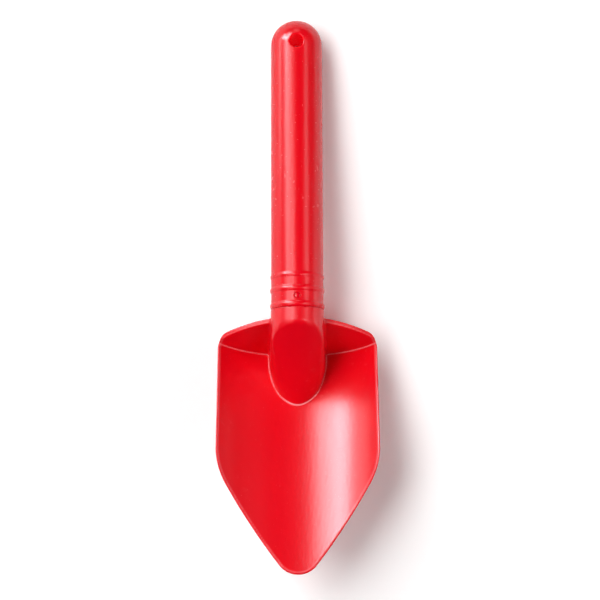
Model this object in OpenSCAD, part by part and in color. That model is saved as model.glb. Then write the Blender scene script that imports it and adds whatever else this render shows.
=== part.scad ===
// Sand shovel for a child: a pitched trough-shaped scoop whose neck carries a tang,
// a hollow round handle pushed over the tang, and a pin that locks the two.
// Every piece is drawn in the moulding frame: the handle axis is the Y axis, the
// mouth of the handle lies at Y = 0, the round end points to +Y and the pan opens to +Z.
// The finished shovel is then laid on a table, on its round end and the heel of its pan,
// with the origin on the table under the middle of its outline box.

/* [Handle] */
// Length of the handle from its mouth to the top of its round end
grip_l = 132; // [110:1:170]
// Diameter of the handle at its round end
grip_end_d = 23; // [20:0.5:28]
// Diameter of the handle at its mouth
grip_mouth_d = 23.4; // [20:0.2:29]
// Thickness of the handle wall at its round end
grip_wall = 2; // [1.2:0.1:3]
// Diameter of the hanging hole through the round end
hang_hole_d = 6; // [3:0.5:9]
// Solid plastic left between the bore of the handle and the hanging hole
eye_wall = 4; // [2:0.5:8]

/* [Grip rings] */
// Distance of the first ring bead from the mouth of the handle
ring_near_y = 1.4; // [1.2:0.1:3]
// Distance of the middle ring bead from the mouth
ring_mid_y = 8.4; // [6:0.1:11]
// Distance of the last ring bead from the mouth
ring_far_y = 14.5; // [12:0.1:20]
// How far the first and the middle ring stand out of the handle
ring_h = 0.45; // [0.2:0.05:0.8]
// How far the last ring stands out of the handle
ring_far_h = 0.3; // [0.2:0.05:0.8]
// Radius of the round section of a ring
ring_r = 1.9; // [1:0.1:2.5]

/* [Pan] */
// Depth of the pan floor below the handle axis where it meets the rear wall
heel_depth = 31; // [24:0.5:36]
// Depth of the pan floor below the handle axis at the tip
tip_depth = 2; // [0:0.5:10]
// Distance from the mouth of the handle forward to the foot of the rear wall
crease_run = 16.3; // [14:0.1:22]
// Distance from the mouth of the handle forward to the tip
tip_run = 117.3; // [105:0.1:140]
// Distance from the mouth of the handle forward to the widest place
wide_run = 60.7; // [50:0.1:70]
// Inner radius of the trough
pan_r = 46; // [44:0.5:60]
// Thickness of the pan
pan_wall = 2; // [1.4:0.1:3]
// Width at the widest place
wide_w = 72.8; // [68:0.1:80]
// Width at the rear corners
rear_w = 71.7; // [60:0.1:78]
// Radius where a side turns into the pointed front
shoulder_r = 33.8; // [20:0.1:36]
// Radius of the long curve from the shoulder to the tip
vee_r = 308; // [200:1:600]
// Radius of the tip
tip_r = 10.5; // [6:0.1:14]

/* [Rear wall] */
// Angle at which the rear wall leans back from the straight pull of the mould
rear_lean = 21.8; // [10:0.1:30]
// Thickness of the rear wall
rear_wall = 2.2; // [1.6:0.1:4]
// Depth of the middle of the rear rim below the handle axis
rear_rim_depth = 2; // [1:0.1:8]
// Radius of the rear wall, which is part of a large leaning cylinder
rear_r = 234; // [150:1:600]
// Radius in plan of the rear corners
rear_corner_r = 9; // [4:0.5:14]
// How far the vertical cut round the rear corners stays behind the rear rim
rear_ease = 0.4; // [0.1:0.1:1]
// Depth of the flat on which the heel of the pan rests
heel_flat = 0.5; // [0.2:0.1:1]

/* [Neck] */
// How far the neck stands out round the mouth of the handle
neck_proud = 0.1; // [0:0.05:0.5]
// Draft of the flanks of the neck
neck_draft = 2; // [0.5:0.1:5]
// Length of the round top of the neck before its face slopes down
neck_top_l = 7.1; // [3:0.1:12]
// Distance from the mouth of the handle forward to the foot of the sloping face
neck_foot_run = 39.6; // [34:0.1:50]
// Distance beyond that foot at which the rounded face would run to a point
face_point_l = 12; // [6:0.5:20]
// Half angle of the cone that rounds the sloping face
face_angle = 33; // [26:0.5:38]
// Thickness of the walls round the core under the neck
neck_wall = 2.2; // [1.6:0.1:3]
// Thickness of the rib that runs through the core under the neck
neck_rib_t = 2; // [1.2:0.1:3]

/* [Tang] */
// Length of the tang inside the handle
tang_l = 52; // [30:1:80]
// Length of the solid round root of the tang
tang_root_l = 9.5; // [9:0.5:14]
// Thickness of the crossed ribs of the tang
tang_rib_t = 2.4; // [1.6:0.1:4]
// Thickness of the discs that guide the tang in the bore
tang_disc_t = 2; // [1.2:0.1:4]
// Gap between the tang and the bore of the handle all round
tang_gap = 0.15; // [0.05:0.05:0.3]

/* [Lock pin] */
// Diameter of the pin that locks the handle on the tang
pin_d = 2.4; // [1.6:0.1:3]
// How deep the pin goes into the tang
pin_bite = 6; // [3:0.5:8]
// Gap round the pin
pin_gap = 0.1; // [0.05:0.05:0.2]
// How far the middle of the pin's end lies below the handle surface
pin_sink = 0.1; // [0.05:0.05:0.4]
// Radius of the pin's domed end
pin_dome_r = 4; // [2.5:0.5:8]

/* [Hidden] */
$fn = 96;
// Overrun of every cut
over = 1;
// How far the flanks of the neck start inside its round top, of its radius
flank_inset_share = 0.01;
// Angle steps of the arcs in the outline
arc_steps = 7;

// Handle
end_r = grip_end_d / 2;
mouth_r = grip_mouth_d / 2;
dome_y = grip_l - end_r;
neck_r = mouth_r + neck_proud;
bore_r = min(end_r, mouth_r) - grip_wall;
bore_l = dome_y - hang_hole_d / 2 - eye_wall;
function grip_r(y) = mouth_r + (end_r - mouth_r) * y / dome_y;

// Pan, with places along the handle axis counted negative toward the tip
crease_y = -crease_run;
tip_y = -tip_run;
wide_y = -wide_run;
wide_x = wide_w / 2;
rear_x = rear_w / 2;
pan_pitch = atan((heel_depth - tip_depth) / (crease_y - tip_y));
pan_out_r = pan_r + pan_wall;
pan_l = (crease_y - tip_y) / cos(pan_pitch);
function floor_z(y) = (crease_y - y) * tan(pan_pitch) - heel_depth;
function side_rise(x) = (pan_r - sqrt(pan_r * pan_r - x * x)) / cos(pan_pitch);

// Rear wall: the place along the handle axis of its inner face at a height
function rear_y(z) = crease_y + (z + heel_depth) * tan(rear_lean);
rear_rim_z = -rear_rim_depth;
corner_z = floor_z(crease_y) + side_rise(rear_x);
arch_drop = rear_rim_z - corner_z;
arch_r = (rear_x * rear_x + arch_drop * arch_drop) / (2 * arch_drop);
rear_run = rear_wall / cos(rear_lean);
rim_apex_y = rear_y(rear_rim_z) + rear_run;
rim_plan_r = 1 / (1 / (rear_r * cos(rear_lean)) + tan(rear_lean) / arch_r);
form_low_z = -heel_depth - pan_wall - rear_wall - over;
form_h = neck_r - form_low_z;

// Neck and its sloping face
foot_y = -neck_foot_run;
foot_z = floor_z(foot_y);
face_slope = atan2(neck_r - foot_z, neck_foot_run - neck_top_l);
face_l = neck_foot_run + face_point_l + over;
point_y = foot_y - face_point_l * cos(face_slope);
point_z = foot_z - face_point_l * sin(face_slope);
face_axis = face_slope - face_angle;

// Tang and pin
tang_r = bore_r - tang_gap;
pin_y = (ring_near_y + ring_mid_y) / 2;
pin_r = pin_d / 2;
pin_hole_r = pin_r + pin_gap;
pin_floor_z = tang_r - pin_bite;
pin_top_z = grip_r(pin_y) - pin_sink;

// Pose on the table: the heel is the lowest corner of the pan
heel_drop = pan_wall / cos(pan_pitch) + rear_run * tan(pan_pitch);
heel_dz = -heel_drop / (1 + tan(rear_lean) * tan(pan_pitch));
heel_y = crease_y + rear_run + heel_dz * tan(rear_lean);
heel_z = heel_dz - heel_depth;
span_y = dome_y - heel_y;
rest_tilt = acos((end_r + heel_flat) / norm([span_y, heel_z])) - atan2(span_y, -heel_z);
tip_low_z = -tip_depth - pan_wall / cos(pan_pitch);
far_y = dome_y * cos(rest_tilt) + end_r;
near_y = tip_y * cos(rest_tilt) + tip_low_z * sin(rest_tilt);
rest_y = -(far_y + near_y) / 2;
rest_z = end_r + dome_y * sin(rest_tilt);

module on_table() {
    translate([0, rest_y, rest_z])
        rotate([-rest_tilt, 0, 0])
            children();
}

// Turns a shape drawn along +Z so that it runs along the handle toward its round end
module along_handle(y) {
    translate([0, y, 0])
        rotate([-90, 0, 0])
            children();
}

// Points of an arc round a centre, from one angle to another
function arc(c, r, from, to) =
    [for (i = [0:arc_steps]) let (a = from + (to - from) * i / arc_steps) c + r * [cos(a), sin(a)]];

// Centre of a large circle that holds two smaller ones inside and touches both
function holding_centre(p, p_r, q, q_r, r) =
    let (
        d = norm(q - p),
        along = ((r - p_r) * (r - p_r) - (r - q_r) * (r - q_r) + d * d) / (2 * d),
        across = sqrt((r - p_r) * (r - p_r) - along * along),
        u = (q - p) / d
    )
    p + along * u + across * [u[1], -u[0]];

function heading(v) = atan2(v[1], v[0]);

// Right half of the pan outline seen along the pull of the mould, from the middle of
// the rear rim to the tip
function half_outline() =
    let (
        rear_c = [0, rim_apex_y + rear_ease - rim_plan_r],
        corner_x = rear_x - rear_corner_r,
        corner_in = rim_plan_r - rear_corner_r,
        corner_c = [corner_x, rear_c[1] + sqrt(corner_in * corner_in - corner_x * corner_x)],
        side_c = [wide_x - shoulder_r, wide_y],
        tip_c = [0, tip_y + tip_r],
        vee_c = holding_centre(side_c, shoulder_r, tip_c, tip_r, vee_r),
        corner_a = heading(corner_c - rear_c),
        side_a = heading(side_c - vee_c),
        tip_a = heading(tip_c - vee_c)
    )
    concat(
        arc(rear_c, rim_plan_r, 90, corner_a),
        arc(corner_c, rear_corner_r, corner_a, 0),
        arc(side_c, shoulder_r, 0, side_a),
        arc(vee_c, vee_r, side_a, tip_a),
        arc(tip_c, tip_r, tip_a, -90)
    );

function mirrored(points) = [for (i = [len(points) - 2:-1:1]) [-points[i][0], points[i][1]]];

// What lies inside the pan outline
module outline_form() {
    half = half_outline();
    translate([0, 0, form_low_z])
        linear_extrude(height = form_h)
            polygon(concat(half, mirrored(half)));
}

// What lies in front of the leaning rear wall, whose face is set back by an offset
module rear_form(offset) {
    translate([0, crease_y, -heel_depth])
        rotate([-rear_lean, 0, 0])
            translate([0, -rear_r, -heel_depth])
                cylinder(r = rear_r + offset, h = 2 * heel_depth + 2 * neck_r);
}

// The round trough that the pan is cut from, pitched so that it rises to the tip
module trough(r) {
    translate([0, crease_y, -heel_depth])
        rotate([-pan_pitch, 0, 0])
            translate([0, crease_run + over, pan_r])
                rotate([90, 0, 0])
                    cylinder(r = r, h = pan_l + crease_run + 2 * pan_r);
}

module pan_form() {
    intersection() {
        outline_form();
        trough(pan_out_r);
        rear_form(rear_wall);
    }
}

// The rim of the rear wall follows an arch that meets the side rims at the corners
module above_rear_rim() {
    difference() {
        translate([-wide_x - over, crease_y, form_low_z])
            cube([wide_w + 2 * over, crease_run + over, neck_r + 2 * over - form_low_z]);
        along_handle(crease_y - over)
            translate([0, arch_r - rear_rim_z, 0])
                cylinder(r = arch_r, h = crease_run + 3 * over);
    }
}

module pan() {
    difference() {
        pan_form();
        intersection() {
            trough(pan_r);
            rear_form(0);
        }
        above_rear_rim();
    }
}

// Cross-section of the neck below the handle axis, swept along the handle
module flanks(r, low_z, y, l) {
    top_x = r * (1 - flank_inset_share);
    low_x = top_x - low_z * tan(neck_draft);
    translate([0, y, 0])
        rotate([90, 0, 0])
            linear_extrude(height = l)
                polygon([[-top_x, 0], [-low_x, low_z], [low_x, low_z], [top_x, 0]]);
}

// The cone that gives the neck its sloping, rounded face, set back by a wall
module face_cone(inset) {
    shift = inset / sin(face_angle);
    cone_l = 2 * (face_l - shift) / cos(face_angle);
    translate([0, point_y, point_z])
        rotate([face_axis - 90, 0, 0])
            translate([0, 0, shift])
                cylinder(r1 = 0, r2 = cone_l * tan(face_angle), h = cone_l);
}

module neck() {
    intersection() {
        union() {
            along_handle(-face_l)
                cylinder(r = neck_r, h = face_l);
            intersection() {
                flanks(neck_r, form_low_z, 0, face_l);
                pan_form();
            }
        }
        face_cone(0);
    }
}

// The hollow under the neck that opens through the underside of the pan
module neck_core() {
    core_r = neck_r - neck_wall;
    difference() {
        intersection() {
            union() {
                along_handle(-face_l)
                    cylinder(r = core_r, h = face_l - crease_run);
                flanks(core_r, form_low_z - over, crease_y, face_l);
            }
            face_cone(neck_wall);
        }
        translate([-neck_rib_t / 2, -face_l - over, form_low_z - 2 * over])
            cube([neck_rib_t, face_l + over, neck_r + 3 * over - form_low_z]);
    }
}

module tang() {
    along_handle(-neck_wall)
        cylinder(r = tang_r, h = tang_root_l + neck_wall);
    intersection() {
        along_handle(0)
            cylinder(r = tang_r, h = tang_l);
        union() {
            translate([-tang_rib_t / 2, 0, -bore_r])
                cube([tang_rib_t, tang_l + over, 2 * bore_r]);
            translate([-bore_r, 0, -tang_rib_t / 2])
                cube([2 * bore_r, tang_l + over, tang_rib_t]);
        }
    }
    for (y = [(tang_root_l + tang_l) / 2, tang_l])
        along_handle(y - tang_disc_t)
            cylinder(r = tang_r, h = tang_disc_t);
}

// The table plane cuts the heel flat
module below_table() {
    translate([-wide_x, -tip_run, -heel_depth])
        cube([wide_w, 2 * tip_run, heel_depth]);
}

module scoop() {
    color("red")
        difference() {
            on_table()
                difference() {
                    union() {
                        pan();
                        neck();
                        tang();
                    }
                    neck_core();
                    translate([0, pin_y, pin_floor_z])
                        cylinder(r = pin_hole_r, h = pin_bite + over);
                }
            below_table();
        }
}

module ring(y, h) {
    along_handle(y)
        rotate_extrude()
            translate([grip_r(y) + h - ring_r, 0])
                circle(r = ring_r);
}

module handle() {
    color("crimson")
        on_table()
            difference() {
                union() {
                    along_handle(0)
                        cylinder(r1 = mouth_r, r2 = end_r, h = dome_y);
                    translate([0, dome_y, 0])
                        sphere(r = end_r);
                    ring(ring_near_y, ring_h);
                    ring(ring_mid_y, ring_h);
                    ring(ring_far_y, ring_far_h);
                }
                along_handle(-over)
                    cylinder(r = bore_r, h = bore_l + over);
                translate([0, dome_y, -end_r - over])
                    cylinder(r = hang_hole_d / 2, h = grip_end_d + 2 * over);
                translate([0, pin_y, 0])
                    cylinder(r = pin_hole_r, h = mouth_r + ring_h + over);
            }
}

module lock_pin() {
    pin_l = pin_top_z - pin_floor_z + over;
    color("firebrick")
        on_table()
            intersection() {
                translate([0, pin_y, pin_floor_z])
                    cylinder(r = pin_r, h = pin_l);
                translate([0, pin_y, pin_top_z - pin_dome_r]) {
                    sphere(r = pin_dome_r);
                    translate([0, 0, -pin_l])
                        cylinder(r = pin_dome_r, h = pin_l);
                }
            }
}

scoop();
handle();
lock_pin();
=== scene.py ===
import math
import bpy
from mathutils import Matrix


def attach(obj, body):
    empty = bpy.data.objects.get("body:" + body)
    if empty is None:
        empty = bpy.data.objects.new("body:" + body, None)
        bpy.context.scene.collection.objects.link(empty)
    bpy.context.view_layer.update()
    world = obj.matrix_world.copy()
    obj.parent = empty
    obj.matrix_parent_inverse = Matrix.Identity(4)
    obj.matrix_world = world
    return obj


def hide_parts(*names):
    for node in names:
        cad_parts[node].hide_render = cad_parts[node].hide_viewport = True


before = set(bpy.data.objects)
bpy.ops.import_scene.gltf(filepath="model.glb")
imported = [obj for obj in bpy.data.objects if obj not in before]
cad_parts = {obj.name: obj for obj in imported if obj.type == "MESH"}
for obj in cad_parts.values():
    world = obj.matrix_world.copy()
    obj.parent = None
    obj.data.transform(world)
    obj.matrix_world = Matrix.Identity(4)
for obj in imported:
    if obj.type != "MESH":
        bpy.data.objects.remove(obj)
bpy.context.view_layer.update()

from types import SimpleNamespace

import bpy
import numpy as np
from mathutils import Matrix, Vector

bl_info = {
    "name": "Sand shovel",
    "version": (1, 0, 0),
    "blender": (4, 5, 0),
    "location": "View3D > Sidebar > Shovel",
    "description": "Builds a child's sand shovel: scoop, ribbed tang, ringed handle and lock pin",
    "category": "Object",
}

# Sizes are given in millimetres where they are declared and kept in metres.
MM = 0.001
BODY = "root"


def length(name, description, mm):
    """A size that a user can change, given in millimetres."""
    return bpy.props.FloatProperty(
        name=name, description=description, default=mm * MM, unit="LENGTH", precision=4
    )


def angle(name, description, degrees):
    """An angle that a user can change, given in degrees."""
    return bpy.props.FloatProperty(
        name=name, description=description, default=math.radians(degrees), subtype="ANGLE"
    )


def share(name, description, value, highest=1.0):
    """A plain number from zero to its highest."""
    return bpy.props.FloatProperty(
        name=name, description=description, default=value, min=0.0, max=highest
    )


def colour(name, description, value):
    """A colour that a user can change."""
    return bpy.props.FloatVectorProperty(
        name=name, description=description, default=value, size=3, subtype="COLOR", min=0.0, max=1.0
    )


class PanSizes(bpy.types.PropertyGroup):
    """The pitched trough and its outline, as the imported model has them."""

    heel_depth: length("Heel depth", "Depth of the floor below the handle axis at the rear wall", 31)
    tip_depth: length("Tip depth", "Depth of the floor below the handle axis at the tip", 2)
    crease_run: length(
        "Foot of rear wall", "Distance from the handle mouth forward to the rear wall's foot", 16.3
    )
    tip_run: length("Tip", "Distance from the handle mouth forward to the tip", 117.3)
    wide_run: length("Widest place", "Distance from the handle mouth forward to the widest place", 60.7)
    radius: length("Trough radius", "Inner radius of the trough", 46)
    wall: length("Wall", "Thickness of the pan", 2)
    wide: length("Width", "Width at the widest place", 72.8)
    rear: length("Rear width", "Width at the rear corners", 71.7)
    shoulder: length("Shoulder radius", "Radius where a side turns into the pointed front", 33.8)
    vee: length("Front curve radius", "Radius of the long curve from the shoulder to the tip", 308)
    tip: length("Tip radius", "Radius of the tip", 10.5)
    rim_round: length("Rim rounding", "Rounding of the rim's edges", 0.5)
    lip_round: length("Lip rounding", "Rounding of the upper edge all round the scoop", 1.0)
    crease_round: length("Crease rounding", "Rounding along the foot of the rear wall", 1.2)
    heel_round: length("Heel rounding", "Rounding of the outer corner at the heel", 1.6)
    heel_flat: length("Heel flat", "Depth of the flat on which the heel rests", 0.5)


class RearWallSizes(bpy.types.PropertyGroup):
    """The rear wall, part of a large leaning cylinder with an arched rim."""

    lean: angle("Lean", "Angle at which the wall leans back", 21.8)
    wall: length("Wall", "Thickness of the rear wall", 2.2)
    rim_depth: length("Rim depth", "Depth of the middle of the rim below the handle axis", 2)
    radius: length("Radius", "Radius of the wall", 234)
    corner: length("Corner radius", "Radius in plan of the rear corners", 9)
    ease: length("Corner ease", "How far the corner cut stays behind the rim", 0.4)


class NeckSizes(bpy.types.PropertyGroup):
    """The neck between the pan and the handle, with its sloping rounded face."""

    proud: length("Proud", "How far the neck stands out round the handle mouth", 0.1)
    draft: angle("Draft", "Draft of the flanks", 2)
    top: length("Top length", "Length of the round top before the face slopes down", 7.1)
    foot_run: length("Foot", "Distance from the handle mouth forward to the foot of the face", 39.6)
    point: length("Point", "Distance beyond the foot at which the face would run to a point", 12)
    face: angle("Face", "Half angle of the cone that rounds the face", 33)
    wall: length("Wall", "Thickness of the walls round the core under the neck", 2.2)
    rib: length("Rib", "Thickness of the rib in the core", 2)
    face_round: length("Face rounding", "Rounding of the edge between the neck's top and its face", 1.2)
    flank_round: length("Flank rounding", "Rounding of the edges between the flanks and the face", 5)
    foot_round: length("Foot rounding", "Fillet where the neck meets the pan", 1.1)


class HandleSizes(bpy.types.PropertyGroup):
    """The hollow round handle with its ring beads and hanging hole."""

    length: length("Length", "Length from the mouth to the top of the round end", 132)
    end: length("End diameter", "Diameter at the round end", 23)
    mouth: length("Mouth diameter", "Diameter at the mouth", 23.4)
    wall: length("Wall", "Thickness of the wall at the round end", 2)
    hole: length("Hanging hole", "Diameter of the hanging hole", 6)
    eye: length("Eye wall", "Solid plastic between the bore and the hanging hole", 4)
    ring_near: length("First ring", "Distance of the first ring from the mouth", 1.4)
    ring_mid: length("Middle ring", "Distance of the middle ring from the mouth", 8.4)
    ring_far: length("Last ring", "Distance of the last ring from the mouth", 14.5)
    ring_high: length("Ring height", "How far the first and the middle ring stand out", 0.45)
    ring_far_high: length("Last ring height", "How far the last ring stands out", 0.3)
    ring_round: length("Ring section", "Radius of a ring's round section", 1.9)
    ring_foot: length("Ring foot", "Rounding of the hollow corner beside a ring", 0.12)
    hole_round: length("Hole rounding", "Rounding of the hanging hole's edges", 0.7)
    pin: length("Pin diameter", "Diameter of the lock pin", 2.4)
    pin_gap: length("Pin gap", "Gap round the lock pin", 0.05)
    pin_bite: length("Pin bite", "How deep the pin goes into the tang", 6)
    pin_sink: length("Pin sink", "How far the middle of the pin's end lies below the handle", 0.1)
    pin_dome: length("Pin dome", "Radius of the pin's domed end", 4)


class TangSizes(bpy.types.PropertyGroup):
    """The ribbed tang that holds the handle from inside."""

    length: length("Length", "Length of the tang inside the handle", 52)
    root: length("Root", "Length of its solid round root", 9.5)
    rib: length("Rib", "Thickness of the crossed ribs", 2.4)
    disc: length("Disc", "Thickness of the guide discs", 2)
    gap: length("Gap", "Gap to the bore all round", 0.15)
    discs: bpy.props.IntProperty(
        name="Discs", description="Number of guide discs along the ribs", default=2, min=1
    )


class Finish(bpy.types.PropertyGroup):
    """Colour and surface of the moulded plastic, with painted highlight lines and a painted glow in the
    hanging hole.
    """

    red: colour("Red", "Colour of the plastic", (0.79, 0.0, 0.009))
    flow_red: colour("Flow red", "Colour of the slightly darker flow bands", (0.74, 0.0, 0.005))
    scuff_red: colour("Scuffed red", "Colour of scuffs and specks", (0.88, 0.07, 0.08))
    depth: length("Glow depth", "How far red light wanders inside the plastic", 3)
    glow: share("Glow", "How much light wanders inside the plastic", 0.25)
    # The pale lines are painted highlights: a pale colour put along the neck's foot, the crease and the
    # rim, where their roundings would catch light.
    painted_highlight_red: colour("Painted highlight red", "Colour of the pale lines where faces meet", (0.95, 0.38, 0.42))
    # The hole glow is painted light: an emission on the hanging hole's wall that stands in for light
    # coming through the plastic.
    painted_hole_glow: colour(
        "Painted hole glow", "Light that comes through the plastic into the hanging hole", (0.20, 0.0, 0.002)
    )
    foot_highlight: length("Foot line", "Half width of the pale line round the neck's foot", 0.55)
    crease_highlight: length("Crease line", "Half width of the pale line along the crease", 0.55)
    rim_highlight: length("Rim line", "Half width of the pale line along the rim", 0.6)
    line: share("Painted highlight lines", "How strongly the pale lines show", 0.8)
    gloss: share("Roughness", "Roughness of the scoop's clean surface", 0.29)
    handle_gloss: share("Handle roughness", "Roughness of the handle's clean surface", 0.23)
    pin_gloss: share("Pin roughness", "Roughness of the lock pin's pressed end", 0.13)
    scuffs: share("Scuffs", "How strongly scratches and specks show", 0.5)
    hidden_scuffs: share("Hidden scuffs", "How strongly they show on the tang and the pin", 0.1)


class Studio(bpy.types.PropertyGroup):
    """Camera, floor and lamps."""

    height: length("Camera height", "Height of the camera above the table", 1250)
    pixel: length("Pixel", "Size of a picture pixel on the table", 0.456)
    picture: bpy.props.IntProperty(
        name="Picture", description="Width of the picture in pixels", default=600, subtype="PIXEL"
    )
    aim_x: length("Aim across", "Where the camera stands across the shovel", 1.19)
    aim_y: length("Aim along", "Where the camera stands along the shovel", -2.6)
    roll: angle("Roll", "How far the camera is turned about its line of sight", -0.2)
    floor: share("Floor", "How pale the floor is", 0.86)
    floor_seen: share("Floor seen", "How pale the floor is to the camera", 1.11, 2.0)
    lamp_reach: length("Lamp distance", "Distance of the lamps from the shovel", 1600)
    fill_spread: angle("Fill lamp spread", "Half angle under which a fill lamp is seen", 12)
    sheen_spread: angle("Sheen lamp spread", "Half angle under which a sheen lamp is seen", 9)
    streak_tint: colour(
        "Streak tint", "Colour of the lamps that make the bright streak on the pan", (0.95, 0.92, 1.0)
    )
    surround: share("Surround", "Brightness of the surround to all but the camera", 0.02)


GROUPS = {
    "shovel_pan": PanSizes,
    "shovel_rear": RearWallSizes,
    "shovel_neck": NeckSizes,
    "shovel_handle": HandleSizes,
    "shovel_tang": TangSizes,
    "shovel_finish": Finish,
    "shovel_studio": Studio,
}


def in_mm(group):
    """A group's sizes in millimetres, its angles in radians and the rest as they are."""
    values = SimpleNamespace()
    for name, prop in group.bl_rna.properties.items():
        if name in ("rna_type", "name"):
            continue
        value = getattr(group, name)
        setattr(values, name, value / MM if prop.unit == "LENGTH" else value)
    return values


def shovel_sizes(scene):
    """All sizes in the moulding frame: Y along the handle from its mouth, Z along the mould's pull."""
    pan, rear = in_mm(scene.shovel_pan), in_mm(scene.shovel_rear)
    neck, grip, tang = in_mm(scene.shovel_neck), in_mm(scene.shovel_handle), in_mm(scene.shovel_tang)
    s = SimpleNamespace(pan=pan, rear=rear, neck=neck, grip=grip, tang=tang)
    s.end_r, s.mouth_r = grip.end / 2, grip.mouth / 2
    s.dome_y = grip.length - s.end_r
    s.bore_r = min(s.end_r, s.mouth_r) - grip.wall
    s.bore_l = s.dome_y - grip.hole / 2 - grip.eye
    s.tang_r = s.bore_r - tang.gap
    s.neck_r = s.mouth_r + neck.proud
    s.pin_y = (grip.ring_near + grip.ring_mid) / 2
    s.pin_floor_z = s.tang_r - grip.pin_bite
    s.pin_top_z = s.mouth_r + (s.end_r - s.mouth_r) * s.pin_y / s.dome_y - grip.pin_sink
    s.crease_y, s.tip_y, s.wide_y = -pan.crease_run, -pan.tip_run, -pan.wide_run
    s.pitch = math.atan2(pan.heel_depth - pan.tip_depth, s.crease_y - s.tip_y)
    s.foot_y = -neck.foot_run
    s.foot_z = (s.crease_y - s.foot_y) * math.tan(s.pitch) - pan.heel_depth
    rise = (pan.radius - math.sqrt(pan.radius**2 - (pan.rear / 2) ** 2)) / math.cos(s.pitch)
    drop = pan.heel_depth - rear.rim_depth - rise
    s.arch_r = ((pan.rear / 2) ** 2 + drop**2) / (2 * drop)
    s.rear_run = rear.wall / math.cos(rear.lean)
    s.rim_apex_y = s.crease_y + (pan.heel_depth - rear.rim_depth) * math.tan(rear.lean) + s.rear_run
    s.rim_plan_r = 1 / (1 / (rear.radius * math.cos(rear.lean)) + math.tan(rear.lean) / s.arch_r)
    slope = math.atan2(s.neck_r - s.foot_z, neck.foot_run - neck.top)
    s.point_y = s.foot_y - neck.point * math.cos(slope)
    s.point_z = s.foot_z - neck.point * math.sin(slope)
    s.face_axis = slope - neck.face
    lay_on_table(s)
    return s


def lay_on_table(s):
    """The tilt and shift that lay the shovel on its round end and its heel, centred on the origin."""
    pan, rear = s.pan, s.rear
    lean, pitch = math.tan(rear.lean), math.tan(s.pitch)
    below = -(pan.wall / math.cos(s.pitch) + s.rear_run * pitch) / (1 + lean * pitch)
    heel_y = s.crease_y + s.rear_run + below * lean
    heel_z = below - pan.heel_depth
    span = s.dome_y - heel_y
    s.tilt = math.acos((s.end_r + pan.heel_flat) / math.hypot(span, heel_z)) - math.atan2(span, -heel_z)
    tip_low = -pan.tip_depth - pan.wall / math.cos(s.pitch)
    far = s.dome_y * math.cos(s.tilt) + s.end_r
    near = s.tip_y * math.cos(s.tilt) + tip_low * math.sin(s.tilt)
    s.rest_y = -(far + near) / 2
    s.rest_z = s.end_r + s.dome_y * math.sin(s.tilt)


def table_matrix(s):
    """From the moulding frame in millimetres to the table frame in metres."""
    shift = Matrix.Translation(Vector((0.0, s.rest_y, s.rest_z)) * MM)
    return shift @ Matrix.Rotation(-s.tilt, 4, "X") @ Matrix.Scale(MM, 4)


# Distance fields. A field is negative inside the plastic, in millimetres.

# Small roundings, in millimetres.
NECK_END_ROUND = 0.15
CORE_TOP_ROUND = 0.3
CORE_BACK_ROUND = 1.0
CORE_RIB_ROUND = 0.4
CORE_RIM_ROUND = 0.5
HEEL_FLAT_ROUND = 0.25
MOUTH_ROUND = 0.3
BORE_END_ROUND = 1.5
PIN_HOLE_ROUND = 0.15
PIN_TOP_ROUND = 0.2
PIN_FOOT_ROUND = 0.1


def rounded_both(a, b, r):
    """What lies in both shapes, with the edge between them rounded."""
    ramp = np.hypot(np.maximum(r + a, 0), np.maximum(r + b, 0))
    return np.minimum(-r, np.maximum(a, b)) + ramp


def rounded_either(a, b, r):
    """What lies in either shape, with a fillet between them."""
    return -rounded_both(-a, -b, r)


def cut_from(a, b, r):
    """The first shape without the second, with the new edge rounded."""
    return rounded_both(a, -b, r)


def half_outline(s):
    """The arcs of the right half of the pan's outline: centre, radius, first and last angle."""
    pan, rear = s.pan, s.rear
    rear_c = np.array((0.0, s.rim_apex_y + rear.ease - s.rim_plan_r))
    corner_x = pan.rear / 2 - rear.corner
    reach = s.rim_plan_r - rear.corner
    corner_c = np.array((corner_x, rear_c[1] + math.sqrt(reach**2 - corner_x**2)))
    side_c = np.array((pan.wide / 2 - pan.shoulder, s.wide_y))
    tip_c = np.array((0.0, s.tip_y + pan.tip))
    span = np.linalg.norm(tip_c - side_c)
    near, far = pan.vee - pan.shoulder, pan.vee - pan.tip
    along = (near**2 - far**2 + span**2) / (2 * span)
    across = math.sqrt(near**2 - along**2)
    u = (tip_c - side_c) / span
    vee_c = side_c + along * u + across * np.array((u[1], -u[0]))
    corner_a = heading(corner_c - rear_c)
    side_a, tip_a = heading(side_c - vee_c), heading(tip_c - vee_c)
    return [
        (rear_c, s.rim_plan_r, corner_a, math.pi / 2),
        (corner_c, rear.corner, 0.0, corner_a),
        (side_c, pan.shoulder, side_a, 0.0),
        (vee_c, pan.vee, tip_a, side_a),
        (tip_c, pan.tip, -math.pi / 2, tip_a),
    ]


def heading(v):
    """The angle of a flat vector from X toward Y."""
    return math.atan2(v[1], v[0])


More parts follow.
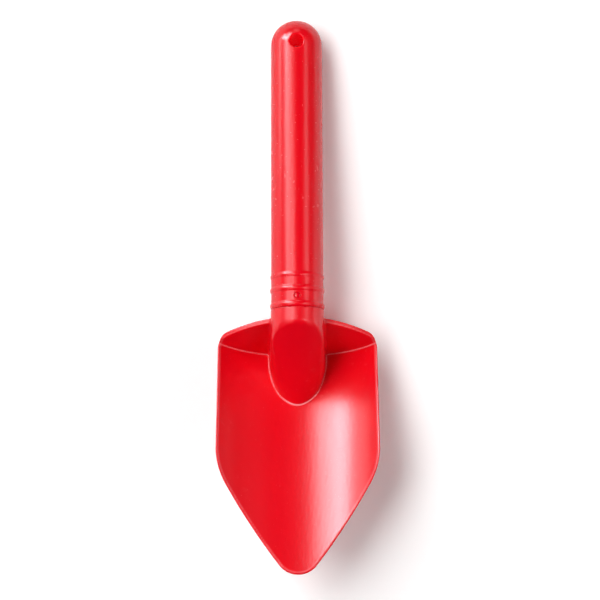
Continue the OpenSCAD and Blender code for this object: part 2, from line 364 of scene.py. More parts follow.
def outline_field(s):
    """Distance to the pan's outline, seen along the mould's pull."""
    arcs = half_outline(s)
    corner_c, side_c = arcs[1][0], arcs[2][0]
    rear_end = np.array((s.pan.rear / 2, corner_c[1]))
    wide_end = np.array((s.pan.wide / 2, side_c[1]))
    run = wide_end - rear_end
    normal = np.array((-run[1], run[0])) / np.linalg.norm(run)
    well_inside = -1000.0

    def field(x, y):
        x = np.abs(x)
        far = np.full_like(x, well_inside)
        for centre, radius, low, high in arcs:
            dx, dy = x - centre[0], y - centre[1]
            turn = np.arctan2(dy, dx)
            here = (turn >= low) & (turn <= high)
            far = np.where(here, np.maximum(far, np.hypot(dx, dy) - radius), far)
        beside = (y <= rear_end[1]) & (y >= wide_end[1])
        side = (x - rear_end[0]) * normal[0] + (y - rear_end[1]) * normal[1]
        return np.where(beside, np.maximum(far, side), far)

    return field


def trough_field(s, x, y, z):
    """Distance to the inner surface of the pitched trough."""
    lift = (y - s.crease_y) * math.sin(s.pitch) + (z + s.pan.heel_depth) * math.cos(s.pitch)
    return np.hypot(x, lift - s.pan.radius) - s.pan.radius


def rear_field(s, x, y, z):
    """Distance to the inner face of the leaning rear wall."""
    lean = s.rear.lean
    out = (y - s.crease_y) * math.cos(lean) - (z + s.pan.heel_depth) * math.sin(lean)
    return np.hypot(x, out + s.rear.radius) - s.rear.radius


def face_cone_field(s, x, y, z):
    """Distance to the cone that rounds the neck's sloping face."""
    ty, tz = y - s.point_y, z - s.point_z
    along = ty * math.cos(s.face_axis) + tz * math.sin(s.face_axis)
    across = np.hypot(x, tz * math.cos(s.face_axis) - ty * math.sin(s.face_axis))
    return across * math.cos(s.neck.face) - along * math.sin(s.neck.face)


def flank_field(s, x, z, radius):
    """Distance to the drafted flanks of a neck whose top has a radius."""
    draft = s.neck.draft
    return (np.abs(x) - radius + z * math.tan(draft)) * math.cos(draft)


def scoop_parts(s):
    """The shapes that make up the scoop, without the core and the tang."""
    pan, rear, neck = s.pan, s.rear, s.neck
    outline = outline_field(s)
    edge = pan.rim_round

    def parts(x, y, z):
        p = SimpleNamespace()
        p.trough, p.rear = trough_field(s, x, y, z), rear_field(s, x, y, z)
        p.form = rounded_both(p.trough - pan.wall, p.rear - rear.wall, pan.heel_round)
        p.form = rounded_both(p.form, outline(x, y), edge)
        p.hollow = rounded_both(p.trough, p.rear, pan.crease_round)
        p.shell = cut_from(p.form, p.hollow, pan.lip_round)
        arch = np.hypot(x, z + rear.rim_depth + s.arch_r) - s.arch_r
        p.shell = rounded_both(p.shell, np.minimum(arch, y - s.crease_y), edge)
        p.face = face_cone_field(s, x, y, z)
        barrel = rounded_both(np.hypot(x, z) - s.neck_r, p.face, neck.face_round)
        sink = np.clip(z / s.foot_z, 0, 1)
        soft = neck.face_round + (neck.flank_round - neck.face_round) * sink
        flanks = rounded_both(flank_field(s, x, z, s.neck_r), p.face, soft)
        flanks = np.maximum(np.maximum(flanks, z), p.form + neck.foot_round)
        p.neck = rounded_both(np.minimum(barrel, flanks), y, NECK_END_ROUND)
        return p

    return parts


def scoop_field(s):
    """The whole scoop without its tang."""
    neck, parts = s.neck, scoop_parts(s)
    core_r = s.neck_r - neck.wall

    def field(x, y, z):
        p = parts(x, y, z)
        body = rounded_either(p.shell, p.neck, neck.foot_round)
        flanks = np.maximum(flank_field(s, x, z, core_r), z)
        core = rounded_either(np.hypot(x, z) - core_r, flanks, CORE_TOP_ROUND)
        core = rounded_both(core, p.face + neck.wall, neck.face_round)
        core = rounded_both(core, y - s.crease_y, CORE_BACK_ROUND)
        core = cut_from(core, np.abs(x) - neck.rib / 2, CORE_RIB_ROUND)
        body = cut_from(body, core, CORE_RIM_ROUND)
        height = z * math.cos(s.tilt) - y * math.sin(s.tilt) + s.rest_z
        return rounded_both(body, -height, HEEL_FLAT_ROUND)

    return field


def scoop_highlight_distances(s):
    """How far a point lies from the neck's foot, the crease and the rim, which places the painted
    highlight lines.
    """
    parts = scoop_parts(s)
    # A painted highlight line is put far away from the points that can't be on it.
    far, underside, neck_margin = 10.0, 1.0, 0.3

    def painted_light_distances(x, y, z):
        p = parts(x, y, z)
        below, behind = p.hollow > underside, p.rear > p.trough
        on_neck = p.shell - p.neck > -neck_margin
        foot = np.where(below | behind, far, np.abs(p.shell - p.neck))
        crease = np.where(below | on_neck, far, np.abs(p.trough - p.rear))
        rim = np.where(on_neck, far, np.abs(p.form + p.hollow + s.pan.lip_round))
        return np.stack((foot, crease, rim), 1)

    return painted_light_distances


def hole_glow_distances(s):
    """How far a point lies outside the hanging hole, and how high above the handle's axis, which places
    the painted glow.
    """

    def painted_light_distances(x, y, z):
        return np.stack((np.hypot(x, y - s.dome_y) - s.grip.hole / 2, z, z), 1)

    return painted_light_distances


def handle_field(s):
    """The handle with its rings, bore, hanging hole and pin hole."""
    grip = s.grip
    rings = (
        (grip.ring_near, grip.ring_high),
        (grip.ring_mid, grip.ring_high),
        (grip.ring_far, grip.ring_far_high),
    )

    def radius(y):
        return s.mouth_r + (s.end_r - s.mouth_r) * np.clip(y / s.dome_y, 0, 1)

    def field(x, y, z):
        spoke = np.hypot(x, z)
        body = np.hypot(spoke, np.maximum(y - s.dome_y, 0)) - radius(y)
        for place, high in rings:
            crest = radius(place) + high - grip.ring_round
            bead = np.hypot(spoke - crest, y - place) - grip.ring_round
            body = rounded_either(body, bead, grip.ring_foot)
        body = rounded_both(body, -y, MOUTH_ROUND)
        bore = rounded_both(spoke - s.bore_r, y - s.bore_l, BORE_END_ROUND)
        body = cut_from(body, bore, MOUTH_ROUND)
        hole = np.hypot(x, y - s.dome_y) - grip.hole / 2
        body = cut_from(body, hole, grip.hole_round)
        pin_hole = np.maximum(np.hypot(x, y - s.pin_y) - grip.pin / 2 - grip.pin_gap, -z)
        return cut_from(body, pin_hole, PIN_HOLE_ROUND)

    return field


def pin_field(s):
    """The lock pin, whose end has a shallow dome."""
    grip = s.grip

    def field(x, y, z):
        spoke = np.hypot(x, y - s.pin_y)
        dome = np.hypot(spoke, z - s.pin_top_z + grip.pin_dome) - grip.pin_dome
        body = rounded_both(spoke - grip.pin / 2, dome, PIN_TOP_ROUND)
        return rounded_both(body, s.pin_floor_z - z, PIN_FOOT_ROUND)

    return field


# A surface net turns a distance field into a closed mesh of quads.


def spaced(*stops):
    """Grid lines from stops of (start, end, gap) in millimetres."""
    runs = [np.linspace(a, b, max(2, round((b - a) / gap) + 1)) for a, b, gap in stops]
    return np.unique(np.concatenate(runs).round(6))


def mirrored(*stops):
    """Grid lines on both sides of zero, from stops on the positive side."""
    lines = spaced(*stops)
    return np.concatenate((-lines[::-1], lines))


def surface_net(field, xs, ys, zs):
    """Vertices and quads of the field's zero surface on a grid with any spacing."""
    axes = (xs, ys, zs)
    d = field(*np.meshgrid(xs, ys, zs, indexing="ij"))
    inside = d < 0
    cells = tuple(n - 1 for n in d.shape)
    corners = [(a, b, c) for a in (0, 1) for b in (0, 1) for c in (0, 1)]
    count = np.zeros(cells, np.int8)
    for a, b, c in corners:
        count += inside[a : a + cells[0], b : b + cells[1], c : c + cells[2]]
    active = (count > 0) & (count < 8)
    number = np.full(cells, -1, np.int64)
    place = np.argwhere(active)
    number[active] = np.arange(len(place))
    total, hits = np.zeros((len(place), 3)), np.zeros(len(place))
    for axis in range(3):
        for start in corners:
            if start[axis]:
                continue
            end = tuple(v + (i == axis) for i, v in enumerate(start))
            p, q = place + start, place + end
            dp, dq = d[tuple(p.T)], d[tuple(q.T)]
            crosses = (dp < 0) != (dq < 0)
            t = np.where(crosses, dp / np.where(crosses, dp - dq, 1), 0)[:, None]
            a = np.stack([axes[i][p[:, i]] for i in range(3)], 1)
            b = np.stack([axes[i][q[:, i]] for i in range(3)], 1)
            total += (a + (b - a) * t) * crosses[:, None]
            hits += crosses
    quads = [quads_across(inside, number, axis) for axis in range(3)]
    return total / hits[:, None], np.concatenate(quads)


def quads_across(inside, number, axis):
    """One quad for each grid edge along an axis that the surface crosses."""
    b, c = (axis + 1) % 3, (axis + 2) % 3
    low, high = [slice(None)] * 3, [slice(None)] * 3
    low[axis], high[axis] = slice(None, -1), slice(1, None)
    before, after = inside[tuple(low)], inside[tuple(high)]
    edges = np.argwhere(before != after)
    keep = (edges[:, b] > 0) & (edges[:, c] > 0)
    keep &= (edges[:, b] < number.shape[b]) & (edges[:, c] < number.shape[c])
    edges = edges[keep]
    ring = []
    for back_b, back_c in ((1, 1), (0, 1), (0, 0), (1, 0)):
        cell = edges.copy()
        cell[:, b] -= back_b
        cell[:, c] -= back_c
        ring.append(number[tuple(cell.T)])
    quads = np.stack(ring, 1)
    outward = before[tuple(edges.T)]
    return np.where(outward[:, None], quads, quads[:, ::-1])


def slope_of(field, points):
    """The field's gradient at some points."""
    step = 0.01
    grad = []
    for axis in range(3):
        shift = np.zeros(3)
        shift[axis] = step
        grad.append((field(*(points + shift).T) - field(*(points - shift).T)) / (2 * step))
    return np.stack(grad, 1)


def settled(field, points, reach):
    """Points drawn onto the field's zero surface, and the surface's normals there."""
    rounds, flattest, tiny = 6, 0.2, 1e-9
    for _ in range(rounds):
        grad = slope_of(field, points)
        step = grad * (field(*points.T) / np.maximum((grad**2).sum(1), flattest))[:, None]
        size = np.linalg.norm(step, axis=1, keepdims=True)
        points = points - step * np.minimum(1, reach / np.maximum(size, tiny))
    grad = slope_of(field, points)
    return points, grad / np.linalg.norm(grad, axis=1, keepdims=True)


def new_object(name, data):
    """A new object in the scene."""
    made = bpy.data.objects.new(name, data)
    bpy.context.collection.objects.link(made)
    return made


def mesh_piece(name, s, points, faces, normals):
    """A piece from points and normals in the moulding frame, laid on the table."""
    turn = np.array(table_matrix(s))
    placed = points @ turn[:3, :3].T + turn[:3, 3]
    mesh = bpy.data.meshes.new(name)
    mesh.from_pydata(placed.tolist(), [], faces.tolist())
    mesh.shade_smooth()
    mesh.normals_split_custom_set_from_vertices((normals @ (turn[:3, :3] / MM).T).tolist())
    return new_object(name, mesh)


def field_piece(name, s, field, grid, reach, painted_light_distances=None):
    """A closed mesh of a distance field, with the distances that place painted highlights or glow kept
    for the material.
    """
    points, quads = surface_net(field, *grid)
    points, normals = settled(field, points, reach)
    piece = mesh_piece(name, s, points, quads, normals)
    if painted_light_distances:
        kept = piece.data.attributes.new("painted_light_distances", "FLOAT_VECTOR", "POINT")
        kept.data.foreach_set("vector", (painted_light_distances(*points.T) * MM).ravel())
    return piece


def finished(piece, material, slot, *nodes):
    """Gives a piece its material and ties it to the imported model."""
    piece.data.materials.clear()
    piece.data.materials.append(material)
    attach(piece, BODY)
    if nodes:
        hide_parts(*nodes)


# Nodes


def name_sockets(tree, way, kind, *names):
    """Gives a node group its inputs or outputs of one kind."""
    for name in names:
        tree.interface.new_socket(name, in_out=way, socket_type=f"NodeSocket{kind}")


def feed(tree, socket, value):
    """Links an input to another node's output, or sets its value."""
    if isinstance(value, bpy.types.NodeSocket):
        tree.links.new(value, socket)
    else:
        socket.default_value = value


def add(tree, kind, **inputs):
    """A node with its inputs linked or set by name, with _ for a space."""
    node = tree.nodes.new(kind)
    for name, value in inputs.items():
        feed(tree, node.inputs[name.replace("_", " ")], value)
    return node


def group_ends(tree):
    """What a node group is given, and what it puts out."""
    return tree.nodes.new("NodeGroupInput").outputs, tree.nodes.new("NodeGroupOutput").inputs


def ramp(tree, value, low, high, out_low=0.0, out_high=1.0):
    """A value mapped from one range to another and held inside it."""
    node = add(tree, "ShaderNodeMapRange", Value=value, From_Min=low, From_Max=high)
    feed(tree, node.inputs["To Min"], out_low)
    feed(tree, node.inputs["To Max"], out_high)
    return node.outputs["Result"]


def blend_colour(tree, amount, first, second):
    """A mix of two colours."""
    node = tree.nodes.new("ShaderNodeMix")
    node.data_type = "RGBA"
    # A colour mix has its factor at input 0, its colours at 6 and 7, and its result at output 2.
    for number, value in ((0, amount), (6, first), (7, second)):
        feed(tree, node.inputs[number], value)
    return node.outputs[2]


def reckon(tree, operation, first, second=0.0):
    """One step of arithmetic."""
    node = tree.nodes.new("ShaderNodeMath")
    node.operation = operation
    feed(tree, node.inputs[0], first)
    feed(tree, node.inputs[1], second)
    return node.outputs[0]


def times(tree, first, second):
    """A product."""
    return reckon(tree, "MULTIPLY", first, second)


def highest(tree, first, *others):
    """The highest of several values."""
    for other in others:
        first = reckon(tree, "MAXIMUM", first, other)
    return first


def stretched(tree, vector, turn, scale):
    """Coordinates turned by degrees and stretched, for marks that run one way."""
    rotation = (0.0, 0.0, math.radians(turn))
    return add(tree, "ShaderNodeMapping", Vector=vector, Rotation=rotation, Scale=scale).outputs[0]


def tang_group():
    """Geometry nodes for the tang: a round root, crossed ribs and guide discs at equal gaps along Y."""
    tree = bpy.data.node_groups.new("ribbed_tang", "GeometryNodeTree")
    name_sockets(tree, "INPUT", "Float", "Radius", "Start", "Root", "Length", "Rib", "Disc", "Gap")
    name_sockets(tree, "INPUT", "Int", "Discs")
    name_sockets(tree, "INPUT", "Material", "Plastic")
    name_sockets(tree, "OUTPUT", "Geometry", "Geometry")
    given, put = group_ends(tree)
    sides = 72

    def vector(x=0.0, y=0.0, z=0.0):
        return add(tree, "ShaderNodeCombineXYZ", X=x, Y=y, Z=z).outputs[0]

    def box(size):
        return add(tree, "GeometryNodeMeshCube", Size=size).outputs[0]

    def moved(shape, place, turn=(0.0, 0.0, 0.0)):
        node = add(tree, "GeometryNodeTransform", Geometry=shape, Translation=place, Rotation=turn)
        return node.outputs[0]

    def disc(thick, place):
        radius = given["Radius"]
        node = add(tree, "GeometryNodeMeshCylinder", Vertices=sides, Radius=radius, Depth=thick)
        return moved(node.outputs[0], place, (math.radians(90), 0.0, 0.0))

    # The ribs' long edges lie on the round of the discs.
    half_rib = times(tree, given["Rib"], 0.5)
    reach = times(tree, given["Radius"], given["Radius"])
    reach = reckon(tree, "SUBTRACT", reach, times(tree, half_rib, half_rib))
    width = times(tree, reckon(tree, "SQRT", reach), 2.0)
    rib_y = times(tree, given["Length"], 0.5)
    across = box(vector(width, given["Length"], given["Rib"]))
    upright = box(vector(given["Rib"], given["Length"], width))
    root_y = reckon(tree, "ADD", given["Start"], times(tree, given["Root"], 0.5))
    last_y = reckon(tree, "SUBTRACT", given["Length"], times(tree, given["Disc"], 0.5))
    last, back = vector(y=last_y), vector(y=times(tree, given["Gap"], -1.0))
    line = add(tree, "GeometryNodeMeshLine", Count=given["Discs"], Start_Location=last, Offset=back)
    guide = disc(given["Disc"], vector())
    discs = add(tree, "GeometryNodeInstanceOnPoints", Points=line.outputs[0], Instance=guide)
    join = tree.nodes.new("GeometryNodeJoinGeometry")
    parts = (
        disc(given["Root"], vector(y=root_y)),
        moved(across, vector(y=rib_y)),
        moved(upright, vector(y=rib_y)),
        discs.outputs[0],
    )
    for part in parts:
        tree.links.new(part, join.inputs[0])
    real = add(tree, "GeometryNodeRealizeInstances", Geometry=join.outputs[0]).outputs[0]
    dressed = add(tree, "GeometryNodeSetMaterial", Geometry=real, Material=given["Plastic"])
    tree.links.new(dressed.outputs[0], put["Geometry"])
    return tree


# Materials

# Noise on the plastic: scale in waves per metre, octaves and their roughness, and the values
# at which the pattern starts and is full. A stretched pattern is scaled by its coordinates.
PATTERNS = {
    "flow": (1.0, 0.0, 0.5, 0.35, 0.75),
    "worn places": (30.0, 2.0, 0.5, 0.46, 0.66),
    "dabs": (340.0, 1.0, 0.4, 0.68, 0.78),
    "scratches": (1.0, 0.0, 0.4, 0.80, 0.88),
    "specks": (1300.0, 0.0, 0.5, 0.80, 0.86),
    "clouds": (30.0, 0.0, 0.5, 0.1, 0.9),
    "drawn lines": (1.0, 1.0, 0.5, 0.0, 1.0),
    "sink marks": (40.0, 0.0, 0.4, 0.0, 1.0),
}
FLOW_TURN, FLOW_SCALE, FLOW_MOST = 4.0, (34.0, 7.0, 34.0), 0.6
DRAWN_SCALE = (800.0, 5.0, 800.0)
# Turn in degrees, scale along the scratches and scale across them.
SCRATCHES = ((14.0, 60.0, 2200.0), (-31.0, 50.0, 1900.0), (72.0, 70.0, 2000.0))
# How much a dab counts beside a scratch, and how wear and clouds change the roughness.
DAB_SHARE, WORN_ROUGH, CLOUD_ROUGH = 0.7, 0.3, 0.012
# How far drawn lines, sink marks and wear go into the relief, and its strength and height.
DRAWN_HIGH, SINK_HIGH, WORN_DEEP = 0.4, 0.2, 0.06
RELIEF, RELIEF_HIGH = 0.3, 0.4 * MM


def pattern(tree, vector, name, low=0.0, high=1.0):
    """One of the plastic's patterns, low where it is absent and high where it is full."""
    scale, octaves, rough, start, full = PATTERNS[name]
    node = add(tree, "ShaderNodeTexNoise", Vector=vector, Scale=scale, Detail=octaves, Roughness=rough)
    return ramp(tree, node.outputs["Fac"], start, full, low, high)


def moulded_plastic_group():
    """Colour, roughness and normal of a moulded plastic with flow bands, specks, scratches and painted
    highlight lines.
    """
    tree = bpy.data.node_groups.new("moulded_plastic", "ShaderNodeTree")
    name_sockets(tree, "INPUT", "Vector", "Position")
    name_sockets(tree, "INPUT", "Color", "Plastic", "Flow", "Scuff", "Pale")
    name_sockets(tree, "INPUT", "Float", "Gloss", "Scuffs", "Seam")
    name_sockets(tree, "OUTPUT", "Color", "Color")
    name_sockets(tree, "OUTPUT", "Float", "Roughness")
    name_sockets(tree, "OUTPUT", "Vector", "Normal")
    given, put = group_ends(tree)
    place = given["Position"]

    flow = stretched(tree, place, FLOW_TURN, FLOW_SCALE)
    flow = pattern(tree, flow, "flow", high=FLOW_MOST)
    base = blend_colour(tree, flow, given["Plastic"], given["Flow"])

    marks = [times(tree, pattern(tree, place, "dabs"), DAB_SHARE)]
    for turn, along, across in SCRATCHES:
        lines = stretched(tree, place, turn, (across, along, across))
        marks.append(pattern(tree, lines, "scratches"))
    wear = times(tree, highest(tree, *marks), pattern(tree, place, "worn places"))
    wear = highest(tree, wear, pattern(tree, place, "specks"))
    wear = times(tree, wear, given["Scuffs"])
    worn = blend_colour(tree, wear, base, given["Scuff"])
    # Painted highlights: the pale colour is blended over the plastic where the painted highlight mask
    # is set.
    tree.links.new(blend_colour(tree, given["Seam"], worn, given["Pale"]), put["Color"])

    clouds = pattern(tree, place, "clouds", -CLOUD_ROUGH, CLOUD_ROUGH)
    rough = reckon(tree, "ADD", given["Gloss"], clouds)
    rough = reckon(tree, "ADD", rough, times(tree, wear, WORN_ROUGH))
    tree.links.new(rough, put["Roughness"])

    drawn = pattern(tree, stretched(tree, place, 0.0, DRAWN_SCALE), "drawn lines")
    sink = pattern(tree, place, "sink marks")
    height = reckon(tree, "ADD", times(tree, drawn, DRAWN_HIGH), times(tree, sink, SINK_HIGH))
    height = reckon(tree, "SUBTRACT", height, times(tree, wear, WORN_DEEP))
    bump = add(tree, "ShaderNodeBump", Height=height, Strength=RELIEF, Distance=RELIEF_HIGH)
    tree.links.new(bump.outputs[0], put["Normal"])
    return tree


def new_material(name):
    """A material, its node tree and its shader."""
    material = bpy.data.materials.new(name)
    material.use_nodes = True
    return material, material.node_tree, material.node_tree.nodes["Principled BSDF"]


def plastic(name, scuffs, gloss):
    """One red plastic, made from the shared group."""
    finish = bpy.context.scene.shovel_finish
    material, tree, shader = new_material(name)
    skin = tree.nodes.new("ShaderNodeGroup")
    skin.name = "skin"
    skin.node_tree = bpy.data.node_groups.get("moulded_plastic") or moulded_plastic_group()
    tree.links.new(tree.nodes.new("ShaderNodeTexCoord").outputs["Object"], skin.inputs["Position"])
    values = {
        "Plastic": (*finish.red, 1.0),
        "Flow": (*finish.flow_red, 1.0),
        "Scuff": (*finish.scuff_red, 1.0),
        "Pale": (*finish.painted_highlight_red, 1.0),
        "Gloss": gloss,
        "Scuffs": scuffs,
    }
    for socket, value in values.items():
        skin.inputs[socket].default_value = value
    shows = {"Color": "Base Color", "Roughness": "Roughness", "Normal": "Normal"}
    for output, socket in shows.items():
        tree.links.new(skin.outputs[output], shader.inputs[socket])
    shader.inputs["IOR"].default_value = 1.5
    shader.inputs["Subsurface Weight"].default_value = finish.glow
    # Red light wanders much farther inside than green and blue.
    shader.inputs["Subsurface Radius"].default_value = (1.0, 0.15, 0.15)
    shader.inputs["Subsurface Scale"].default_value = finish.depth
    return material


def kept_distances(tree):
    """The three distances kept with the mesh, which place the painted highlights or glow."""
    kept = tree.nodes.new("ShaderNodeAttribute")
    kept.attribute_name = "painted_light_distances"
    return add(tree, "ShaderNodeSeparateXYZ", Vector=kept.outputs["Vector"]).outputs


# How strongly each painted highlight line shows, and the share of its half width that shows in full.
PAINTED_HIGHLIGHTS = {"Foot": 1.0, "Crease": 0.7, "Rim": 0.25}
HIGHLIGHT_CORE = 0.2


def painted_highlight_group():
    """A mask of the painted highlight lines along the neck's foot, the crease and the rim."""
    tree = bpy.data.node_groups.new("painted_highlight_lines", "ShaderNodeTree")
    name_sockets(tree, "INPUT", "Float", *PAINTED_HIGHLIGHTS, *(f"{name} Width" for name in PAINTED_HIGHLIGHTS))
    name_sockets(tree, "OUTPUT", "Float", "Mask")
    given, put = group_ends(tree)
    masks = []
    for name, strength in PAINTED_HIGHLIGHTS.items():
        off = reckon(tree, "DIVIDE", given[name], given[f"{name} Width"])
        masks.append(ramp(tree, off, HIGHLIGHT_CORE, 1.0, strength, 0.0))
    tree.links.new(highest(tree, *masks), put["Mask"])
    return tree


def paint_highlight_lines(material, finish):
    """Paints pale highlight lines where the scoop's faces meet."""
    tree = material.node_tree
    lines = tree.nodes.new("ShaderNodeGroup")
    lines.node_tree = painted_highlight_group()
    widths = (finish.foot_highlight, finish.crease_highlight, finish.rim_highlight)
    for name, distance, width in zip(PAINTED_HIGHLIGHTS, kept_distances(tree), widths):
        tree.links.new(distance, lines.inputs[name])
        lines.inputs[f"{name} Width"].default_value = width
    mask = times(tree, lines.outputs["Mask"], finish.line)
    tree.links.new(mask, tree.nodes["skin"].inputs["Seam"])


def paint_hole_glow(material, finish):
    """Paints a glow onto the wall of the hanging hole, an emission that stands in for light coming
    through the plastic.
    """
    tree = material.node_tree
    outside, height, _ = kept_distances(tree)
    # The painted glow fades over the hole's rounded edge, and a little toward the top.
    wall, edge, bottom, top, top_share = 0.1 * MM, 0.5 * MM, -12 * MM, 11 * MM, 0.9
    inside = ramp(tree, outside, wall, edge, 1.0, 0.0)
    depth = ramp(tree, height, bottom, top, 1.0, top_share)
    dark, lit = (0.0, 0.0, 0.0, 1.0), (*finish.painted_hole_glow, 1.0)
    glow = blend_colour(tree, times(tree, inside, depth), dark, lit)
    shader = tree.nodes["Principled BSDF"]
    tree.links.new(glow, shader.inputs["Emission Color"])
    shader.inputs["Emission Strength"].default_value = 1.0


# Operators


class SHOVEL_OT_scoop(bpy.types.Operator):
    """Build the scoop: pan, rear wall and neck in one moulding"""

    bl_idname = "shovel.scoop"
    bl_label = "Scoop"

    def execute(self, context):
        s = shovel_sizes(context.scene)
        half, neck, heel_z = s.pan.wide / 2, s.neck_r + 1.5, -s.pan.heel_depth
        # The gaps are finest where the surface bends most.
        xs = mirrored(
            (0.3, neck - 3.5, 0.75),
            (neck - 3.5, neck, 0.5),
            (neck, half - 2.5, 0.75),
            (half - 2.5, half + 1.0, 0.45),
        )
        ys = spaced(
            (s.tip_y - 1.2, s.tip_y + 4, 0.5),
            (s.tip_y + 4, s.foot_y - 3, 0.85),
            (s.foot_y - 3, s.foot_y + 5, 0.55),
            (s.foot_y + 5, s.crease_y - 3, 0.7),
            (s.crease_y - 3, 0.6, 0.5),
        )
        zs = spaced((heel_z - 4.5, heel_z + 4, 0.5), (heel_z + 4, s.neck_r + 0.8, 0.6))
        grid, painted_light_distances = (xs, ys, zs), scoop_highlight_distances(s)
        piece = field_piece("scoop_pan_and_neck", s, scoop_field(s), grid, reach=0.5, painted_light_distances=painted_light_distances)
        finish = context.scene.shovel_finish
        material = plastic("red_scoop_plastic", finish.scuffs, finish.gloss)
        paint_highlight_lines(material, finish)
        finished(piece, material, "red_plastic_scoop", "scoop")
        return {"FINISHED"}


class SHOVEL_OT_tang(bpy.types.Operator):
    """Build the ribbed tang that holds the handle from inside"""

    bl_idname = "shovel.tang"
    bl_label = "Tang"

    def execute(self, context):
        s = shovel_sizes(context.scene)
        holder = new_object("tang_maker", bpy.data.meshes.new("tang_maker"))
        maker = holder.modifiers.new("tang", "NODES")
        maker.node_group = tang_group()
        finish = context.scene.shovel_finish
        material = plastic("red_tang_plastic", finish.hidden_scuffs, finish.gloss)
        values = {
            "Radius": s.tang_r,
            "Start": -s.neck.wall,
            "Root": s.tang.root + s.neck.wall,
            "Length": s.tang.length,
            "Rib": s.tang.rib,
            "Disc": s.tang.disc,
            "Gap": (s.tang.length - s.tang.root) / s.tang.discs,
            "Discs": s.tang.discs,
            "Plastic": material,
        }
        for item in maker.node_group.interface.items_tree:
            if item.in_out == "INPUT" and item.name in values:
                maker[item.identifier] = values[item.name]
        context.view_layer.update()
        solid = holder.evaluated_get(context.evaluated_depsgraph_get())
        mesh = bpy.data.meshes.new_from_object(solid)
        bpy.data.objects.remove(holder)
        mesh.transform(table_matrix(s))
        finished(new_object("ribbed_tang", mesh), material, "red_plastic_scoop")
        return {"FINISHED"}


class SHOVEL_OT_handle(bpy.types.Operator):
    """Build the handle with its rings, bore and holes"""

    bl_idname = "shovel.handle"
    bl_label = "Handle"

    def execute(self, context):
        s = shovel_sizes(context.scene)
        out, rings_end, bore_end = s.mouth_r + 1.2, s.grip.ring_far + 2.5, s.bore_l - 3
        hole = s.grip.hole / 2 + 1.5
        xs = mirrored((0.25, 4.0, 0.5), (4.0, out, 0.62))
        ys = spaced(
            (-0.9, rings_end, 0.24),
            (rings_end, bore_end, 1.6),
            (bore_end, s.dome_y - hole, 0.7),
            (s.dome_y - hole, s.dome_y + hole, 0.4),
            (s.dome_y + hole, s.grip.length + 0.9, 0.5),
        )
        zs = mirrored((0.3, out, 0.6))
        grid, painted_light_distances = (xs, ys, zs), hole_glow_distances(s)
        piece = field_piece("grip_with_rings", s, handle_field(s), grid, reach=0.4, painted_light_distances=painted_light_distances)
        finish = context.scene.shovel_finish
        material = plastic("red_handle_plastic", finish.scuffs, finish.handle_gloss)
        paint_hole_glow(material, finish)
        finished(piece, material, "red_plastic_handle", "handle")
        return {"FINISHED"}


class SHOVEL_OT_pin(bpy.types.Operator):
    """Build the lock pin with its domed end"""

    bl_idname = "shovel.pin"
    bl_label = "Lock pin"

    def execute(self, context):
        s = shovel_sizes(context.scene)
        out = s.grip.pin / 2 + 0.3
        xs = spaced((-out, out, 0.12))
        ys = spaced((s.pin_y - out, s.pin_y + out, 0.12))
        zs = spaced(
            (s.pin_floor_z - 0.3, s.pin_top_z - 1.0, 0.3),
            (s.pin_top_z - 1.0, s.pin_top_z + 0.3, 0.12),
        )
        piece = field_piece("domed_lock_pin", s, pin_field(s), (xs, ys, zs), reach=0.1)
        finish = context.scene.shovel_finish
        material = plastic("red_pin_plastic", finish.hidden_scuffs, finish.pin_gloss)
        finished(piece, material, "red_plastic_pin", "lock_pin")
        return {"FINISHED"}


class SHOVEL_OT_stage(bpy.types.Operator):
    """Set up the floor, the lamps, the world and the camera"""

    bl_idname = "shovel.stage"
    bl_label = "Stage"

    def execute(self, context):
        studio = context.scene.shovel_studio
        make_floor(studio)
        make_lamps(studio)
        make_world(studio)
        make_camera(studio)
        context.scene.view_settings.view_transform = "Standard"
        return {"FINISHED"}


def make_floor(studio):
    """A plain pale floor that keeps the shovel's shadow."""
    half = 4.0
    corners = [(x * half, y * half, 0) for x, y in ((-1, -1), (1, -1), (1, 1), (-1, 1))]
    mesh = bpy.data.meshes.new("floor")
    mesh.from_pydata(corners, [], [(0, 1, 2, 3)])
    floor = new_object("floor", mesh)
    material, tree, shader = new_material("pale_floor")
    shader.inputs["Roughness"].default_value = 0.95
    shader.inputs["Specular IOR Level"].default_value = 0.0
    seen = tree.nodes.new("ShaderNodeLightPath").outputs["Is Camera Ray"]
    plain, bright = (studio.floor,) * 3 + (1.0,), (studio.floor_seen,) * 3 + (1.0,)
    tree.links.new(blend_colour(tree, seen, plain, bright), shader.inputs["Base Color"])
    mesh.materials.append(material)


# Soft round lamps on a dome round the shovel: height and bearing in degrees, and brightness.
# The bearing is counted from the shovel's right toward its handle.
FILL_LAMPS = (
    (20, 0, 3.0), (20, 30, 1.2), (20, 120, 0.8), (20, 210, 1.2), (20, 300, 1.5),
    (42, 120, 5.1), (42, 150, 3.5), (42, 180, 1.2), (42, 210, 1.4), (42, 330, 5.2),
    (64, 135, 6.1), (64, 180, 6.4),
)
SHEEN_LAMPS = (
    (18, 90, 2.0),
    (6, 0, 4.8), (6, 157, 4.2), (6, 180, 2.7), (6, 202, 1.7),
    (44, 25, 2.2), (44, 128, 5.6), (44, 154, 3.8), (44, 334, 1.5),
    (57, 0, 6.3), (57, 144, 1.6), (57, 180, 1.6), (57, 216, 2.6),
    (70, 154, 6.7),
)
STREAK_LAMPS = (
    (18, 140, 19.4),
    (31, 120, 15.1), (31, 140, 19.0),
)


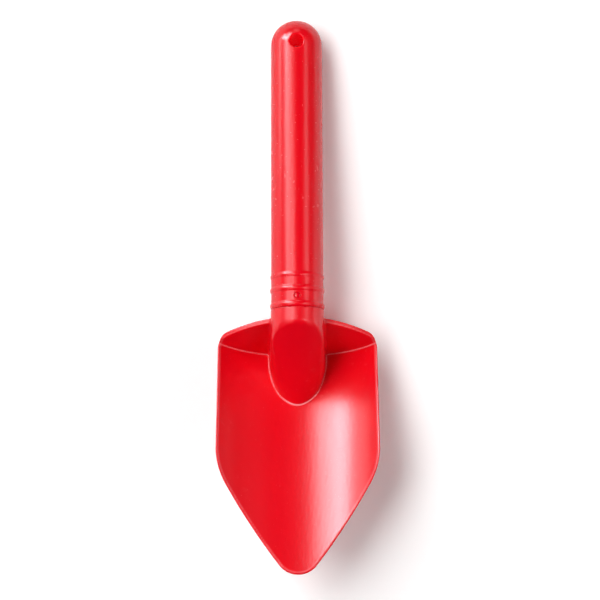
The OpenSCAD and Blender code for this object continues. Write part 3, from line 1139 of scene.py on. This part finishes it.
def lamp_dome(name, rows, spread, reach):
    """One round lamp for each row, all looking at the shovel."""
    made = []
    for height, bearing, brightness in rows:
        up, turn = math.radians(height), math.radians(bearing)
        toward = Vector((math.cos(turn) * math.cos(up), math.sin(turn) * math.cos(up), math.sin(up)))
        lamp = bpy.data.lights.new(f"{name}_{height}_{bearing}", "AREA")
        lamp.shape = "DISK"
        lamp.size = 2 * reach * math.tan(spread)
        # A disc gives its brightness times pi times its area.
        lamp.energy = brightness * math.pi**2 * lamp.size**2 / 4
        light = new_object(lamp.name, lamp)
        light.location = toward * reach
        light.rotation_euler = (-toward).to_track_quat("-Z", "Y").to_euler()
        made.append(light)
    return made


def make_lamps(studio):
    """The lamps that light the plastic's colour, and those that only show in its sheen."""
    for light in lamp_dome("fill", FILL_LAMPS, studio.fill_spread, studio.lamp_reach):
        light.visible_glossy = False
    for light in lamp_dome("sheen", SHEEN_LAMPS, studio.sheen_spread, studio.lamp_reach):
        light.visible_diffuse = False
    for light in lamp_dome("streak", STREAK_LAMPS, studio.sheen_spread, studio.lamp_reach):
        light.visible_diffuse = False
        light.data.color = studio.streak_tint


def make_world(studio):
    """A surround that is white to the camera and nearly dark to everything else."""
    world = bpy.data.worlds.new("surround")
    bpy.context.scene.world = world
    world.use_nodes = True
    tree = world.node_tree
    back = tree.nodes["Background"]
    back.inputs["Color"].default_value = (1.0, 1.0, 1.0, 1.0)
    path = tree.nodes.new("ShaderNodeLightPath")
    strength = ramp(tree, path.outputs["Is Camera Ray"], 0.0, 1.0, studio.surround, 1.0)
    tree.links.new(strength, back.inputs["Strength"])


def make_camera(studio):
    """The camera straight above, as in the photograph."""
    camera = bpy.data.cameras.new("camera")
    view = new_object("camera", camera)
    view.location = (studio.aim_x, studio.aim_y, studio.height)
    sensor, farthest = 36.0, 20.0
    camera.sensor_width = sensor
    camera.lens = sensor * studio.height / (studio.picture * studio.pixel)
    camera.clip_end = farthest
    view.rotation_euler = (0.0, 0.0, studio.roll)
    bpy.context.scene.camera = view


class SHOVEL_PT_panel(bpy.types.Panel):
    """The shovel's sizes and the pieces to build"""

    bl_label = "Sand shovel"
    bl_idname = "SHOVEL_PT_panel"
    bl_space_type = "VIEW_3D"
    bl_region_type = "UI"
    bl_category = "Shovel"

    def draw(self, context):
        layout = self.layout
        for name, group in GROUPS.items():
            box = layout.box()
            box.label(text=group.__name__)
            values = getattr(context.scene, name)
            for key in group.__annotations__:
                box.prop(values, key)
        for operator in OPERATORS:
            layout.operator(operator.bl_idname)


OPERATORS = (SHOVEL_OT_scoop, SHOVEL_OT_tang, SHOVEL_OT_handle, SHOVEL_OT_pin, SHOVEL_OT_stage)


def register():
    for group in GROUPS.values():
        bpy.utils.register_class(group)
    for name, group in GROUPS.items():
        setattr(bpy.types.Scene, name, bpy.props.PointerProperty(type=group))
    for operator in OPERATORS:
        bpy.utils.register_class(operator)
    bpy.utils.register_class(SHOVEL_PT_panel)


def unregister():
    bpy.utils.unregister_class(SHOVEL_PT_panel)
    for operator in reversed(OPERATORS):
        bpy.utils.unregister_class(operator)
    for name in GROUPS:
        delattr(bpy.types.Scene, name)
    for group in reversed(GROUPS.values()):
        bpy.utils.unregister_class(group)


def main():
    """Builds every piece and the stage."""
    register()
    bpy.ops.shovel.scoop()
    bpy.ops.shovel.tang()
    bpy.ops.shovel.handle()
    bpy.ops.shovel.pin()
    bpy.ops.shovel.stage()


if __name__ == "__main__":
    main()
